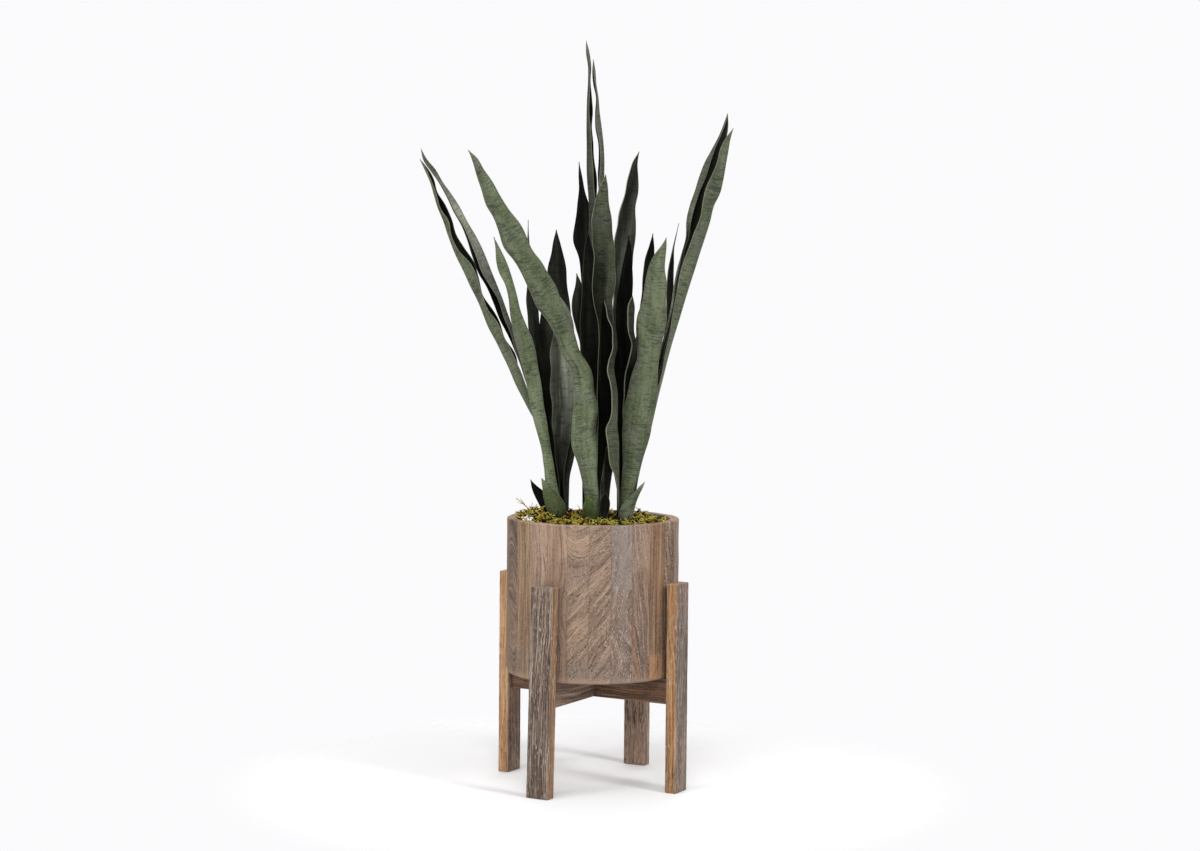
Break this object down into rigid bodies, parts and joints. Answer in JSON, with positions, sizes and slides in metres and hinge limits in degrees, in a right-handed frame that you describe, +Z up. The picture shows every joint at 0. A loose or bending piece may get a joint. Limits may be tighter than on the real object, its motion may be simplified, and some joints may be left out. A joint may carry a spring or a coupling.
{
  "type": "potted snake plant",
  "caption": "Snake plant in a round pot of upright wooden staves, moss over the soil, resting in a low wooden stand with crossed bars.",
  "frame": {"origin": "on the floor plane, at the middle of the whole object's footprint box; the pot's axis stands 31.3 mm to +X and 22.4 mm to +Y of it, because the leaves lean further to the left and the front", "axes": "+Z up; the side that the picture shows faces -Y, with +X to its right"},
  "size_m": [0.4786, 0.366, 1.1209],
  "materials": {
    "stave_wood": "matte",
    "base_wood": "matte",
    "stand_wood": "matte",
    "potting_soil": "matte",
    "moss": "matte",
    "leaf": "satin",
    "sprout": "satin"
  },
  "bodies": {
    "root": {"stave_01": "stave_wood", "stave_02": "stave_wood", "stave_03": "stave_wood", "stave_04": "stave_wood", "stave_05": "stave_wood", "stave_06": "stave_wood", "stave_07": "stave_wood", "stave_08": "stave_wood", "stave_09": "stave_wood", "stave_10": "stave_wood", "stave_11": "stave_wood", "stave_12": "stave_wood", "stave_13": "stave_wood", "stave_14": "stave_wood", "stave_15": "stave_wood", "stave_16": "stave_wood", "stave_17": "stave_wood", "stave_18": "stave_wood", "stave_19": "stave_wood", "stave_20": "stave_wood", "stave_21": "stave_wood", "stave_22": "stave_wood", "stave_23": "stave_wood", "stave_24": "stave_wood", "pot_base": "base_wood", "potting_soil": "potting_soil", "moss_topdressing": "moss", "stand_leg_front_left": "stand_wood", "stand_leg_front_right": "stand_wood", "stand_leg_back_right": "stand_wood", "stand_leg_back_left": "stand_wood", "stand_bar_upper": "stand_wood", "stand_bar_lower": "stand_wood", "leaf_left_tall_outer": "leaf", "leaf_left_tall_inner": "leaf", "leaf_front_diagonal": "leaf", "leaf_left_front": "leaf", "leaf_left_back_spike": "leaf", "leaf_left_back_broad": "leaf", "leaf_left_middle": "leaf", "leaf_centre_tall_left": "leaf", "leaf_centre_tall_right": "leaf", "leaf_centre_front": "leaf", "leaf_centre_back_left": "leaf", "leaf_centre_inner": "leaf", "leaf_centre_short_left": "leaf", "leaf_centre_back_right": "leaf", "leaf_right_inner": "leaf", "leaf_right_wavy_long": "leaf", "leaf_right_wavy_short": "leaf", "leaf_right_front_broad": "leaf", "leaf_right_back": "leaf", "leaf_right_back_spike": "leaf", "leaf_right_tall_inner": "leaf", "leaf_right_tall_outer": "leaf", "sprout_left_dark": "sprout", "sprout_left_curled": "sprout", "sprout_centre_front": "sprout", "sprout_centre_right": "sprout", "sprout_right_curled": "sprout"}
  },
  "joints": []
}
